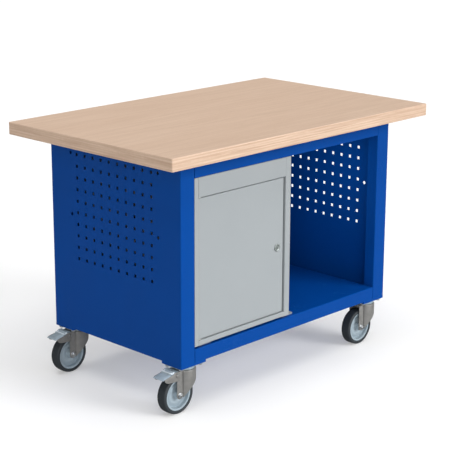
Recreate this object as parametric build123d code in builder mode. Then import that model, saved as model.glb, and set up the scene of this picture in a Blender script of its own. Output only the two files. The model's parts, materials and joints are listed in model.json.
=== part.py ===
from build123d import *
import os

# A wheeled workbench: a plywood top on a folded sheet-steel frame, with a lockable cupboard in its
# left half, an open bay in its right half and four swivel casters. Millimetres. +X runs to the right
# along the bench, -Y faces the user and +Z is up. The origin is on the floor, under the middle.

# ---------------------------------------------------------------- driving dimensions
top_length = 1200
top_depth = 750
top_thickness = 40

frame_length = 987          # over the two side panels
frame_depth = 596
frame_height = 639          # underside of the frame to the underside of the top
caster_height = 163         # floor to the underside of the frame, with its corner plate

steel = 2.0                 # gauge of the frame's sheet
thin_steel = 1.5            # gauge of the cupboard's sheet
bend = 3.0                  # outer bend radius of the frame's sheet

post_width = 58
post_return = 40
apron_height = 58.5
tray_height = 43.5

hole_pitch = 38             # square perforation of the side panels
hole_side = 10
hole_count = 10
top_row_drop = 50.5         # underside of the top to the first row of holes
bracket_hole_radius = 5.5   # round holes for a bolted-on bracket
bracket_hole_span = 400
bracket_hole_rise = 200

cupboard_width = 431
cupboard_gap = 1.0          # between the left post and the cupboard
cupboard_back_y = 265
hinge_strip = 17.5
lock_strip = 24.5
front_return = 22           # depth of the folded edges around the door
header_height = 62
plinth_height = 15.5
door_inset = 5
door_depth = 18
door_gap = 3
sill_gap = 1.6

wheel_radius = 62.5
tyre_half_width = 17.5
rim_radius = 51
trail = 38                  # swivel axis to wheel axle
running = 0.05              # radial clearance of a shaft in its hole

# ---------------------------------------------------------------- worked out from them
half_length = frame_length / 2
half_depth = frame_depth / 2
frame_base = caster_height
frame_top = frame_base + frame_height
post_x = half_length - post_width
tray_z = frame_base + tray_height
apron_z = frame_top - apron_height

cupboard_left = -post_x + cupboard_gap
cupboard_right = cupboard_left + cupboard_width
cupboard_front = -half_depth + 1
cupboard_base = tray_z + 7.5
cupboard_roof = apron_z - 0.5
opening_left = cupboard_left + hinge_strip
opening_right = cupboard_right - lock_strip
opening_base = cupboard_base + plinth_height
opening_top = cupboard_roof - header_height

door_left = opening_left + door_gap
door_right = opening_right - door_gap - 1
door_base = opening_base + sill_gap
door_top = opening_top - door_gap - 0.5
door_front = cupboard_front + door_inset
door_rear = door_front + door_depth

os.makedirs("parts", exist_ok=True)
written = []


def save(builder, name):
    """Labels a finished piece and writes it as its own STEP file."""
    builder.part.label = name
    export_step(builder.part, f"parts/{name}.step")
    written.append(name)


def folded(points, gauge, radius):
    """The section of a folded sheet: its outer skin follows points, its gauge lies to the left."""
    with BuildSketch() as section:
        with BuildLine():
            FilletPolyline(*points, radius=radius)
            offset(amount=gauge, side=Side.LEFT, mode=Mode.ADD)
        make_face()
    return section.sketch


def span(low, high):
    """The middle and the size of a stretch from low to high."""
    return (low + high) / 2, high - low


def block(x_span, y_span, z_span, mode=Mode.ADD):
    """A plain block between three pairs of limits, in the open part."""
    x, width = span(*x_span)
    y, depth = span(*y_span)
    z, height = span(*z_span)
    with Locations((x, y, z)):
        Box(width, depth, height, mode=mode)


def pin(radius, centre, z_span, mode=Mode.ADD):
    """An upright round pin or hole between two heights, in the open part."""
    z, length = span(*z_span)
    with Locations((centre[0], centre[1], z)):
        Cylinder(radius, length, mode=mode)


# ---------------------------------------------------------------- worktop
with BuildPart() as worktop:
    with BuildSketch(Plane.XY.offset(frame_top)):
        Rectangle(top_length, top_depth)
    extrude(amount=top_thickness)
    fillet(worktop.edges().filter_by(Axis.Z), radius=4)
    fillet(worktop.faces().sort_by(Axis.Z)[-1].edges(), radius=2)
    fillet(worktop.faces().sort_by(Axis.Z)[0].edges(), radius=2)
save(worktop, "worktop")


# ---------------------------------------------------------------- side panels
# Each is one sheet folded into a C, so that its front and rear edges are the bench's posts. It has
# inward flanges at the top, for the worktop, and at the bottom, for the casters.
top_flange = 30
bolt_y = half_depth - 15            # bolts that join rails and tray to the posts
apron_bolt_z = frame_top - apron_height / 2
tray_bolt_z = frame_base + tray_height / 2
bolt_hole = 3.2
plate_length = 106                  # caster corner plates
plate_depth = 88
swivel_x = half_length - plate_length / 2
swivel_y = half_depth - plate_depth / 2
caster_hole_x = 80
caster_hole_y = 60
caster_bolt_hole = 4.5
bracket_hole_z = frame_top - 148.5


def side_panel(name, side):
    """The left (side -1) or right (side 1) panel with its two posts."""
    outer = side * half_length
    inner = side * post_x
    order = side
    skin = [
        (inner, -order * (half_depth - post_return)),
        (inner, -order * half_depth),
        (outer, -order * half_depth),
        (outer, order * half_depth),
        (inner, order * half_depth),
        (inner, order * (half_depth - post_return)),
    ]
    wall = sorted((outer, outer - side * top_flange))
    foot = sorted((outer - side * steel, inner))
    lattice_z = frame_top - top_row_drop - (hole_count - 1) * hole_pitch / 2
    with BuildPart() as panel:
        with BuildSketch(Plane.XY.offset(frame_base)):
            add(folded(skin, steel, bend))
        extrude(amount=frame_height)
        block(wall, (-half_depth + 50, half_depth - 50), (frame_top - steel, frame_top))
        block(foot, (-half_depth + 1, half_depth - 1), (frame_base, frame_base + steel))
        with BuildSketch(Plane.YZ.offset(outer)):
            with Locations((0, lattice_z)):
                with GridLocations(hole_pitch, hole_pitch, hole_count, hole_count):
                    Rectangle(hole_side, hole_side)
            with Locations((0, bracket_hole_z)):
                with GridLocations(bracket_hole_span, bracket_hole_rise, 2, 2):
                    Circle(bracket_hole_radius)
        extrude(amount=steel + 1, both=True, mode=Mode.SUBTRACT)
        with BuildSketch(Plane.YZ.offset(inner)):
            for z in (apron_bolt_z, tray_bolt_z):
                with Locations((-bolt_y, z), (bolt_y, z)):
                    Circle(bolt_hole)
        extrude(amount=steel + 1, both=True, mode=Mode.SUBTRACT)
        for y in (-swivel_y, swivel_y):
            with BuildSketch(Plane.XY.offset(frame_base)):
                with Locations((side * swivel_x, y)):
                    with GridLocations(caster_hole_x, caster_hole_y, 2, 2):
                        Circle(caster_bolt_hole)
            extrude(amount=steel + 1, both=True, mode=Mode.SUBTRACT)
    save(panel, name)


side_panel("side_panel_left", -1)
side_panel("side_panel_right", 1)


# ---------------------------------------------------------------- aprons and their end plates
# Folded channels between the posts, right under the top, at the front and at the back. A plate is
# welded into each end of a channel and takes the bolt to the post.
seam = 0.75
apron_flange = 26
apron_end = post_x - seam


def apron(name, side):
    """The front (side -1) or rear (side 1) apron, a channel open towards the middle."""
    face = side * half_depth
    lip = side * (half_depth - apron_flange)
    low = (lip, apron_z)
    high = (lip, frame_top)
    corners = [(face, apron_z), (face, frame_top)]
    skin = [low, *corners, high] if side > 0 else [high, *reversed(corners), low]
    with BuildPart() as rail:
        with BuildSketch(Plane.YZ.offset(-apron_end)):
            add(folded(skin, steel, bend))
        extrude(amount=2 * apron_end)
    save(rail, name)


apron("front_apron", -1)
apron("rear_apron", 1)

with BuildPart() as apron_end_plates:
    plate_gap = 0.1
    plate_z = (apron_z + steel + plate_gap, frame_top - steel - plate_gap)
    for side in (-1, 1):
        plate_y = sorted((side * (half_depth - steel - plate_gap), side * (half_depth - apron_flange)))
        for end in (-1, 1):
            plate_x = sorted((end * apron_end, end * (apron_end - steel)))
            block(plate_x, plate_y, plate_z)
    with BuildSketch(Plane.YZ.offset(-post_x)):
        with Locations((-bolt_y, apron_bolt_z), (bolt_y, apron_bolt_z)):
            Circle(bolt_hole)
    extrude(amount=2 * post_x, mode=Mode.SUBTRACT)
save(apron_end_plates, "apron_end_plates")


# ---------------------------------------------------------------- bottom tray
# A pan folded down on four sides, whose front lip is flush with the posts.
tray_end = post_x - 0.5
foot_pitch_y = 508                  # cupboard feet on the tray
foot_tab = 36
foot_block = 20
foot_depth = 27
foot_setback = 13
foot_screw = 2.5
foot_xs = (cupboard_left + 30, cupboard_right - foot_block)
front_foot_y = cupboard_front + foot_setback + foot_depth / 2
foot_ys = (front_foot_y, front_foot_y + foot_pitch_y)
foot_screw_x = foot_block + foot_tab * 0.55

with BuildPart() as bottom_tray:
    block((-tray_end, tray_end), (-half_depth, half_depth), (frame_base, tray_z))
    tray_rim = bottom_tray.faces().sort_by(Axis.Z)[-1].edges()
    fillet([*tray_rim, *bottom_tray.edges().filter_by(Axis.Z)], radius=bend)
    hollow_x = tray_end - steel
    hollow_y = half_depth - steel
    block((-hollow_x, hollow_x), (-hollow_y, hollow_y), (frame_base, tray_z - steel), Mode.SUBTRACT)
    with BuildSketch(Plane.YZ.offset(-post_x)):
        with Locations((-bolt_y, tray_bolt_z), (bolt_y, tray_bolt_z)):
            Circle(bolt_hole)
    extrude(amount=2 * post_x, mode=Mode.SUBTRACT)
    for x in foot_xs:
        for y in foot_ys:
            pin(foot_screw, (x + foot_screw_x, y), (tray_z - 5, tray_z + 5), Mode.SUBTRACT)
save(bottom_tray, "bottom_tray")


# ---------------------------------------------------------------- back panel
# A plain sheet between the rear posts, with a folded edge against each of them.
back_y = half_depth - 6
back_end = post_x - 0.5
back_flange = 20
back_screw = 2.5
back_screw_y = back_y - 12
back_screw_zs = [tray_z + 40 + 151 * i for i in range(4)]

with BuildPart() as back_panel:
    with BuildSketch(Plane.XY.offset(tray_z + 0.5)):
        back_skin = [
            (back_end, back_y - back_flange),
            (back_end, back_y),
            (-back_end, back_y),
            (-back_end, back_y - back_flange),
        ]
        add(folded(back_skin, thin_steel, 2.5))
    extrude(amount=apron_z - tray_z - 1)
    with BuildSketch(Plane.YZ.offset(-post_x)):
        with Locations(*[(back_screw_y, z) for z in back_screw_zs]):
            Circle(back_screw)
    extrude(amount=2 * post_x, mode=Mode.SUBTRACT)
save(back_panel, "back_panel")

with BuildPart() as panel_screws:
    for side in (-1, 1):
        head_face = side * (back_end - thin_steel)
        for z in back_screw_zs:
            with BuildSketch(Plane.YZ.offset(head_face - (2.2 if side > 0 else 0))):
                with Locations((back_screw_y, z)):
                    Circle(4.5)
            extrude(amount=2.2)
            tip = sorted((head_face, side * (post_x - 0.05)))
            with BuildSketch(Plane.YZ.offset(tip[0])):
                with Locations((back_screw_y, z)):
                    Circle(back_screw - running)
            extrude(amount=tip[1] - tip[0])
save(panel_screws, "panel_screws")


# ---------------------------------------------------------------- frame bolts
# Hex bolts through rail or tray and post, with the head on the bay's side and the nut in the post.
with BuildPart() as frame_bolts:
    for side in (-1, 1):
        for y in (-bolt_y, bolt_y):
            for z, wall_x in ((apron_bolt_z, apron_end - steel), (tray_bolt_z, tray_end - steel)):
                nut_x = post_x + steel
                for start, length, radius, sides in (
                    (wall_x - 4, 4, 5.5, 6),
                    (wall_x, nut_x + 7 - wall_x, bolt_hole - running, 0),
                    (nut_x, 5, 5.5, 6),
                ):
                    with BuildSketch(Plane.YZ.offset(side * start)):
                        with Locations((y, z)):
                            if sides:
                                RegularPolygon(radius, sides)
                            else:
                                Circle(radius)
                    extrude(amount=side * length)
save(frame_bolts, "frame_bolts")


# ---------------------------------------------------------------- worktop screws
with BuildPart() as worktop_screws:
    for x in (-half_length + 18, half_length - 18):
        for y in (-220, -75, 75, 220):
            pin(6, (x, y), (frame_top - steel - 3, frame_top - steel))
save(worktop_screws, "worktop_screws")


# ---------------------------------------------------------------- caster corner plates and bolts
bracket_base = frame_base - 8
caster_plate_z = bracket_base - 3.5
caster_plate_length = 97
caster_plate_depth = 77
corners = [(sx, sy) for sx in (-1, 1) for sy in (-1, 1)]

with BuildPart() as corner_plates:
    for sx, sy in corners:
        with BuildSketch(Plane.XY.offset(bracket_base)):
            with Locations((sx * swivel_x, sy * swivel_y)):
                RectangleRounded(plate_length, plate_depth, 2)
                with GridLocations(caster_hole_x, caster_hole_y, 2, 2):
                    Circle(caster_bolt_hole, mode=Mode.SUBTRACT)
        extrude(amount=frame_base - bracket_base)
save(corner_plates, "corner_plates")

# Hex bolts from below, with the nut on the panel's foot or, on the bay's side, on the corner plate.
head_height = 5.3
nut_height = 6.5
hex_radius = 7.5

with BuildPart() as caster_bolts:
    for sx, sy in corners:
        for bolt_x in (-caster_hole_x / 2, caster_hole_x / 2):
            seat = frame_base + (steel if sx * bolt_x > 0 else 0)
            for start, end, radius, sides in (
                (seat, seat + nut_height, hex_radius, 6),
                (caster_plate_z, seat + nut_height + 2, caster_bolt_hole - 0.5, 0),
                (caster_plate_z - head_height, caster_plate_z, hex_radius, 6),
            ):
                with BuildSketch(Plane.XY.offset(start)):
                    with Locations((sx * swivel_x + bolt_x, sy * swivel_y)):
                        with GridLocations(caster_hole_x, caster_hole_y, 1, 2):
                            if sides:
                                RegularPolygon(radius, sides)
                            else:
                                Circle(radius)
                extrude(amount=end - start)
save(caster_bolts, "caster_bolts")


# ---------------------------------------------------------------- cupboard carcass
# Five folded sheets. The side sheets carry the strips beside the door, the roof carries the header
# above it and the floor the plinth strip below it.
rear_flange = 15
inside_left = cupboard_left + thin_steel
inside_right = cupboard_right - thin_steel
panel_rear = cupboard_back_y - thin_steel       # where roof and floor end, less the back sheet
strip_clear = 0.3
fold_rear = cupboard_front + front_return + 0.5

pivot_x = door_left + 9
pivot_y = door_front + 9
pivot_radius = 3
pivot_hole = pivot_radius + running


def cupboard_side(name, outer, opening, side):
    """A side sheet from the door's opening round to the back of the cupboard."""
    skin = [
        (opening, cupboard_front + front_return),
        (opening, cupboard_front),
        (outer, cupboard_front),
        (outer, cupboard_back_y),
        (outer - side * rear_flange, cupboard_back_y),
    ]
    if side < 0:
        skin.reverse()
    with BuildPart() as sheet:
        with BuildSketch(Plane.XY.offset(cupboard_base)):
            add(folded(skin, thin_steel, 2))
        extrude(amount=cupboard_roof - cupboard_base)
    save(sheet, name)


cupboard_side("cupboard_side_left", cupboard_left, opening_left, -1)
cupboard_side("cupboard_side_right", cupboard_right, opening_right, 1)

with BuildPart() as cupboard_roof_sheet:
    with BuildSketch(Plane.YZ.offset(opening_left + strip_clear)):
        roof_skin = [
            (fold_rear, cupboard_roof),
            (cupboard_front, cupboard_roof),
            (cupboard_front, opening_top),
            (cupboard_front + front_return, opening_top),
        ]
        add(folded(roof_skin, thin_steel, 2))
    extrude(amount=opening_right - opening_left - 2 * strip_clear)
    roof_z = (cupboard_roof - thin_steel, cupboard_roof)
    block((inside_left, inside_right), (fold_rear, panel_rear - thin_steel), roof_z)
    pin(pivot_hole, (pivot_x, pivot_y), (opening_top - 5, opening_top + 5), Mode.SUBTRACT)
save(cupboard_roof_sheet, "cupboard_roof")

with BuildPart() as cupboard_floor:
    with BuildSketch(Plane.YZ.offset(opening_left + strip_clear)):
        floor_skin = [
            (fold_rear, opening_base),
            (cupboard_front, opening_base),
            (cupboard_front, cupboard_base),
            (cupboard_front + front_return, cupboard_base),
        ]
        add(folded(floor_skin, thin_steel, 2))
    extrude(amount=opening_right - opening_left - 2 * strip_clear)
    floor_z = (opening_base - thin_steel, opening_base)
    block((inside_left, inside_right), (fold_rear, panel_rear - thin_steel), floor_z)
    pin(pivot_hole, (pivot_x, pivot_y), (cupboard_base - 5, opening_base + 5), Mode.SUBTRACT)
save(cupboard_floor, "cupboard_floor")

with BuildPart() as cupboard_back:
    back_span = (panel_rear - thin_steel, panel_rear)
    block((inside_left + 1, inside_right - 1), back_span, (cupboard_base, cupboard_roof))
save(cupboard_back, "cupboard_back")


# ---------------------------------------------------------------- cupboard shelf and its clips
shelf_z = 463
shelf_front = door_rear + 22
shelf_rear = panel_rear - thin_steel - 2
shelf_lip = 20

with BuildPart() as cupboard_shelf:
    with BuildSketch(Plane.YZ.offset(inside_left + 1)):
        shelf_skin = [
            (shelf_rear, shelf_z - shelf_lip),
            (shelf_rear, shelf_z),
            (shelf_front, shelf_z),
            (shelf_front, shelf_z - shelf_lip),
        ]
        add(folded(shelf_skin, thin_steel, 2))
    extrude(amount=inside_right - inside_left - 2)
save(cupboard_shelf, "cupboard_shelf")

with BuildPart() as shelf_clips:
    for wall_x, side in ((inside_left, 1), (inside_right, -1)):
        for y in (shelf_front + 50, shelf_rear - 50):
            arm = sorted((wall_x, wall_x + side * 14))
            leg = sorted((wall_x, wall_x + side * 1.5))
            block(arm, (y - 10, y + 10), (shelf_z - thin_steel - 2, shelf_z - thin_steel))
            block(leg, (y - 10, y + 10), (shelf_z - thin_steel - 22, shelf_z - thin_steel - 2))
save(shelf_clips, "shelf_clips")


# ---------------------------------------------------------------- cupboard feet
# Each lifts the cupboard off the tray and holds it down with one screw through a rounded tab.
with BuildPart() as cupboard_feet:
    for x in foot_xs:
        for y in foot_ys:
            low_y = y - foot_depth / 2
            high_y = y + foot_depth / 2
            block((x, x + foot_block), (low_y, high_y), (tray_z, cupboard_base))
            block((x + foot_block, x + foot_block + foot_tab), (low_y, high_y), (tray_z, tray_z + 3))
            pin(foot_screw, (x + foot_screw_x, y), (tray_z - 1, tray_z + 9), Mode.SUBTRACT)
    tab_edges = cupboard_feet.edges().filter_by(Axis.Z).filter_by(
        lambda edge: any(abs(edge.center().X - (x + foot_block + foot_tab)) < 0.1 for x in foot_xs)
    )
    fillet(tab_edges, radius=9)
save(cupboard_feet, "cupboard_feet")

with BuildPart() as foot_screws:
    for x in foot_xs:
        for y in foot_ys:
            centre = (x + foot_screw_x, y)
            pin(4, centre, (tray_z + 3, tray_z + 5))
            pin(foot_screw - running, centre, (tray_z - 6, tray_z + 3))
save(foot_screws, "foot_screws")


# ---------------------------------------------------------------- door
# A pan folded back on four sides, with a narrow hem, that turns on a pin at its top and its bottom.
hem = 13
lock_x = door_right - 29.5
lock_z = 452
barrel_radius = 9.5

with BuildPart() as door_panel:
    block((door_left, door_right), (door_front, door_rear), (door_base, door_top))
    door_face = door_panel.faces().sort_by(Axis.Y)[0]
    fillet(door_face.edges(), radius=3)
    inner_x = (door_left + thin_steel, door_right - thin_steel)
    inner_z = (door_base + thin_steel, door_top - thin_steel)
    block(inner_x, (door_front + thin_steel, door_rear - thin_steel), inner_z, Mode.SUBTRACT)
    mouth_x = (door_left + hem, door_right - hem)
    mouth_z = (door_base + hem, door_top - hem)
    block(mouth_x, (door_rear - 2 * thin_steel, door_rear + 1), mouth_z, Mode.SUBTRACT)
    pin(pivot_radius, (pivot_x, pivot_y), (door_base - 1, door_top + 1), Mode.SUBTRACT)
    with BuildSketch(Plane.XZ.offset(-door_front - 5)):
        with Locations((lock_x, lock_z)):
            Circle(barrel_radius)
    extrude(amount=10, mode=Mode.SUBTRACT)
save(door_panel, "door_panel")

with BuildPart() as door_pins:
    for inner_end, outer_end in ((door_base + 14, opening_base - 6), (door_top - 14, opening_top + 6)):
        pin(pivot_radius, (pivot_x, pivot_y), sorted((inner_end, outer_end)))
save(door_pins, "door_pins")

with BuildPart() as pivot_washers:
    for z_span in ((opening_base, door_base - 0.1), (door_top + 0.1, opening_top)):
        pin(7, (pivot_x, pivot_y), z_span)
        pin(pivot_hole, (pivot_x, pivot_y), z_span, Mode.SUBTRACT)
save(pivot_washers, "pivot_washers")

with BuildPart() as door_buffers:
    for z in (door_base + 60, door_top - 60):
        with BuildSketch(Plane.XZ.offset(-door_rear)):
            with Locations((door_right - 7, z)):
                Circle(4)
        extrude(amount=-2.5)
save(door_buffers, "door_buffers")


# ---------------------------------------------------------------- cam lock
# A bored housing clamped in the door by its nut, and a plug that turns in it and carries the cam.
plug_radius = 6.5
bezel_radius = 12.5
housing_rear = door_front + 22
cam_front = door_rear + 1
cam_thickness = 3
cam_reach = 46


def turned(radius, y_span, x, z, mode=Mode.ADD):
    """A round piece that lies along Y between two depths, in the open part."""
    middle, length = span(*y_span)
    with Locations(Location((x, middle, z), (90, 0, 0))):
        Cylinder(radius, length, mode=mode)


with BuildPart() as lock_housing:
    turned(bezel_radius, (door_front - 3, door_front), lock_x, lock_z)
    chamfer(lock_housing.faces().sort_by(Axis.Y)[0].edges(), length=1.4)
    turned(barrel_radius - running, (door_front, housing_rear - 5), lock_x, lock_z)
    turned(plug_radius + running, (door_front - 5, housing_rear), lock_x, lock_z, Mode.SUBTRACT)
save(lock_housing, "lock_housing")

with BuildPart() as lock_nut:
    with BuildSketch(Plane.XZ.offset(-door_front - thin_steel)):
        with Locations((lock_x, lock_z)):
            RegularPolygon(14, 6)
            Circle(barrel_radius, mode=Mode.SUBTRACT)
    extrude(amount=-4)
save(lock_nut, "lock_nut")

with BuildPart() as lock_plug:
    turned(plug_radius, (door_front - 2.4, cam_front), lock_x, lock_z)
    turned(3, (cam_front, cam_front + cam_thickness), lock_x, lock_z)
    block((lock_x - 1, lock_x + 1), (door_front - 5, door_front + 8), (lock_z - 4.2, lock_z + 4.2),
          Mode.SUBTRACT)
save(lock_plug, "lock_plug")

with BuildPart() as lock_cam:
    with BuildSketch(Plane.XZ.offset(-cam_front)):
        with Locations((lock_x, lock_z - cam_reach / 2)):
            Rectangle(16, cam_reach)
        with Locations((lock_x, lock_z)):
            Circle(8)
            Circle(3.05, mode=Mode.SUBTRACT)
    extrude(amount=-cam_thickness)
save(lock_cam, "lock_cam")

with BuildPart() as lock_screw:
    cam_rear = cam_front + cam_thickness
    turned(5.5, (cam_rear, cam_rear + 3), lock_x, lock_z)
    chamfer(lock_screw.faces().sort_by(Axis.Y)[-1].edges(), length=0.8)
save(lock_screw, "lock_screw")


# ---------------------------------------------------------------- casters
# A bolted top plate with a ball race and a kingpin, a fork pressed from sheet with a round cup below
# the race, and a rubber-tyred wheel on a bolt. The two left casters have a pedal brake.
axle_z = wheel_radius
crown_top = 141
crown_gauge = 3
crown_base = crown_top - crown_gauge
cup_radius = 37.5
cup_gauge = 3
leg_outer = 22.5
leg_inner = 20
leg_width = 24
leg_front = -27
axle_radius = 5
kingpin_radius = 6
hub_half = leg_inner - 0.5
pedal_x = -52
pedal_z = 131
pedal_pin = 4
skirt_inner = 23
skirt_outer = 25


def caster_plate(name, x, y):
    """The bolted plate, pierced for its bolts and its kingpin."""
    with BuildPart() as plate:
        with BuildSketch(Plane.XY.offset(caster_plate_z)):
            with Locations((x, y)):
                RectangleRounded(caster_plate_length, caster_plate_depth, 4)
                with GridLocations(caster_hole_x, caster_hole_y, 2, 2):
                    Circle(caster_bolt_hole, mode=Mode.SUBTRACT)
                Circle(kingpin_radius + running, mode=Mode.SUBTRACT)
        extrude(amount=bracket_base - caster_plate_z)
    save(plate, f"{name}_caster_plate")


def caster_race(name, x, y):
    """The ball race between the plate and the fork's crown, drawn in at its waist."""
    low = crown_top + 0.3
    high = caster_plate_z
    with BuildPart() as race:
        with BuildSketch(Plane.XZ.offset(-y)):
            with BuildLine():
                Polyline((x + 14, low), (x + 33, low), (x + 33, low + 4))
                ThreePointArc((x + 33, low + 4), (x + 31, (low + 4 + high) / 2), (x + 33, high))
                Polyline((x + 33, high), (x + 14, high), (x + 14, low))
            make_face()
        revolve(axis=Axis((x, y, 0), (0, 0, 1)))
    save(race, f"{name}_swivel_race")


def caster_fork(name, x, y, braked):
    """Crown, cup and two legs in one pressing; a braked fork also has ears for the pedal's pin."""
    back = -trail - leg_width / 2
    with BuildPart() as fork:
        pin(cup_radius, (x, y), (axle_z - 15, crown_top))
        fillet(fork.faces().sort_by(Axis.Z)[-1].edges(), radius=4)
        pin(cup_radius - cup_gauge, (x, y), (axle_z - 16, crown_base), Mode.SUBTRACT)
        block((x - 60, x + leg_front + 6), (y - leg_inner, y + leg_inner), (axle_z - 16, crown_base),
              Mode.SUBTRACT)
        with BuildSketch(Plane.XZ.offset(-y + 60)):
            with BuildLine():
                ThreePointArc((x + leg_front, 55), (x - 8, 78.5), (x + 38, 112))
                Polyline((x + 38, 112), (x + 60, 112), (x + 60, 40), (x + leg_front, 40),
                         (x + leg_front, 55))
            make_face()
            with Locations((x - 50, 75)):
                Rectangle(46, 150)
        extrude(amount=-120, mode=Mode.SUBTRACT)
        block((x + back, x - 10), (y - leg_outer, y + leg_outer), (crown_base, crown_top))
        for side in (-1, 1):
            wall = sorted((y + side * leg_inner, y + side * leg_outer))
            block((x + back, x + leg_front), wall, (axle_z, crown_base + 1))
            with BuildSketch(Plane.XZ.offset(-wall[0])):
                with Locations((x - trail, axle_z)):
                    Circle(leg_width / 2)
                with BuildLine():
                    Polyline((x - trail, axle_z), (x + leg_front + 1, 54), (x + leg_front + 1, 80),
                             (x - trail, 80), (x - trail, axle_z))
                make_face()
                if braked:
                    with BuildLine():
                        Polyline((x + back + 2, crown_top), (x - 62, 136), (x - 62, 124),
                                 (x + back + 2, 116), (x + back + 2, crown_top))
                    make_face()
            extrude(amount=-(leg_outer - leg_inner))
        turned(axle_radius, (y - 30, y + 30), x - trail, axle_z, Mode.SUBTRACT)
        pin(kingpin_radius + running, (x, y), (crown_base - 5, crown_top + 5), Mode.SUBTRACT)
        if braked:
            turned(pedal_pin, (y - 30, y + 30), x + pedal_x, pedal_z, Mode.SUBTRACT)
    save(fork, f"{name}_fork")


def caster_axle(name, x, y):
    """The axle bolt, with its head at the back and a nut at the front."""
    with BuildPart() as axle:
        turned(axle_radius, (y - leg_outer - 8.5, y + leg_outer), x - trail, axle_z)
        for y_face, length, radius in ((y + leg_outer, 5, 8), (y - leg_outer - 6.5, 6.5, 8)):
            with BuildSketch(Plane.XZ.offset(-y_face)):
                with Locations((x - trail, axle_z)):
                    RegularPolygon(radius, 6)
            extrude(amount=-length)
        chamfer(axle.faces().sort_by(Axis.Y)[0].edges(), length=1)
    save(axle, f"{name}_axle")


def caster_rim(name, x, y):
    """A moulded wheel centre: a hub, a dished web and a flanged seat for the tyre."""
    bore = axle_radius + running
    centre = (x - trail, y, axle_z)
    with BuildPart() as rim:
        with BuildSketch(Plane(centre)):
            with BuildLine():
                Polyline((bore, 0), (bore, hub_half), (12.5, hub_half), (14, 8))
                Spline((14, 8), (28, 3.4), (41, 6.5), (45.5, 13.5))
                Polyline((45.5, 13.5), (46.5, 15), (rim_radius, 15), (rim_radius, 0), (bore, 0))
            make_face()
            mirror(about=Plane.XZ)
        revolve(axis=Axis(centre, (0, 1, 0)))
    save(rim, f"{name}_rim")


def caster_tyre(name, x, y):
    """The rubber band on the rim, with a slightly crowned tread and round shoulders."""
    half = tyre_half_width
    centre = (x - trail, y, axle_z)
    with BuildPart() as tyre:
        with BuildSketch(Plane(centre)):
            with BuildLine():
                Polyline((rim_radius, 15), (52.5, half), (57, half))
                ThreePointArc((57, half), (60.6, half - 1.8), (62, half - 6))
                ThreePointArc((62, half - 6), (wheel_radius, 0), (62, 6 - half))
                ThreePointArc((62, 6 - half), (60.6, 1.8 - half), (57, -half))
                Polyline((57, -half), (52.5, -half), (rim_radius, -15), (rim_radius, 15))
            make_face()
        revolve(axis=Axis(centre, (0, 1, 0)))
    save(tyre, f"{name}_tyre")


def brake_pedal(name, x, y):
    """A pressed channel over the fork's ears: a stepped tread, two skirts, a tube and a tongue."""
    inner_end = x - 46
    with BuildPart() as pedal:
        with BuildSketch(Plane.XZ.offset(-y + skirt_outer)):
            with BuildLine():
                Polyline((inner_end, 144.5), (x - 61.5, 144.5), (x - 67.5, 138.2), (x - 110, 130.2),
                         (x - 109.6, 128.2), (x - 66.4, 136.4), (x - 60.6, 142.5), (inner_end, 142.5),
                         (inner_end, 144.5))
            make_face()
        extrude(amount=-2 * skirt_outer)
        for wall in ((y - skirt_outer, y - skirt_inner), (y + skirt_inner, y + skirt_outer)):
            with BuildSketch(Plane.XZ.offset(-wall[0])):
                with BuildLine():
                    Polyline((inner_end, 144.5), (x - 61.5, 144.5), (x - 67.5, 138.2), (x - 104, 131.3),
                             (x - 104, 126), (x - 98, 119), (x - 88, 115.5), (inner_end, 112),
                             (inner_end, 144.5))
                make_face()
            extrude(amount=-(skirt_outer - skirt_inner))
        turned(7, (y - skirt_outer, y - skirt_inner), x + pedal_x, pedal_z)
        turned(5, (y - leg_inner + 0.5, y + leg_inner - 0.5), x + pedal_x, pedal_z)
        block((x - 66, x - 52), (y - 10, y + 10), (133, 135.5))
        block((x - 68, x - 65), (y - 10, y + 10), (133, 139))
        turned(pedal_pin + running, (y - 40, y + 40), x + pedal_x, pedal_z, Mode.SUBTRACT)
    save(pedal, f"{name}_brake_pedal")


def brake_pin(name, x, y):
    """The pin on which the pedal rocks, headed outside both skirts."""
    with BuildPart() as brake:
        turned(pedal_pin, (y - skirt_outer - 0.3, y + skirt_outer + 0.3), x + pedal_x, pedal_z)
        for y_span in ((-skirt_outer - 2.3, -skirt_outer - 0.3), (skirt_outer + 0.3, skirt_outer + 2.3)):
            turned(6, (y + y_span[0], y + y_span[1]), x + pedal_x, pedal_z)
    save(brake, f"{name}_brake_pin")


casters = [
    ("front_left", -swivel_x, -swivel_y, True),
    ("rear_left", -swivel_x, swivel_y, True),
    ("front_right", swivel_x, -swivel_y, False),
    ("rear_right", swivel_x, swivel_y, False),
]

for place, caster_x, caster_y, has_brake in casters:
    caster_plate(place, caster_x, caster_y)
    caster_race(place, caster_x, caster_y)
    caster_fork(place, caster_x, caster_y, has_brake)
    caster_axle(place, caster_x, caster_y)
    caster_rim(place, caster_x, caster_y)
    caster_tyre(place, caster_x, caster_y)
    if has_brake:
        brake_pedal(place, caster_x, caster_y)
        brake_pin(place, caster_x, caster_y)

with BuildPart() as kingpins:
    for place, caster_x, caster_y, has_brake in casters:
        pin(kingpin_radius, (caster_x, caster_y), (crown_base - 0.3, bracket_base))
        pin(11, (caster_x, caster_y), (crown_base - 5.3, crown_base - 0.3))
save(kingpins, "kingpins")

print(len(written), "nodes")
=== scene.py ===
import json
import math

import bmesh
import bpy
from mathutils import Matrix, Vector


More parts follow.
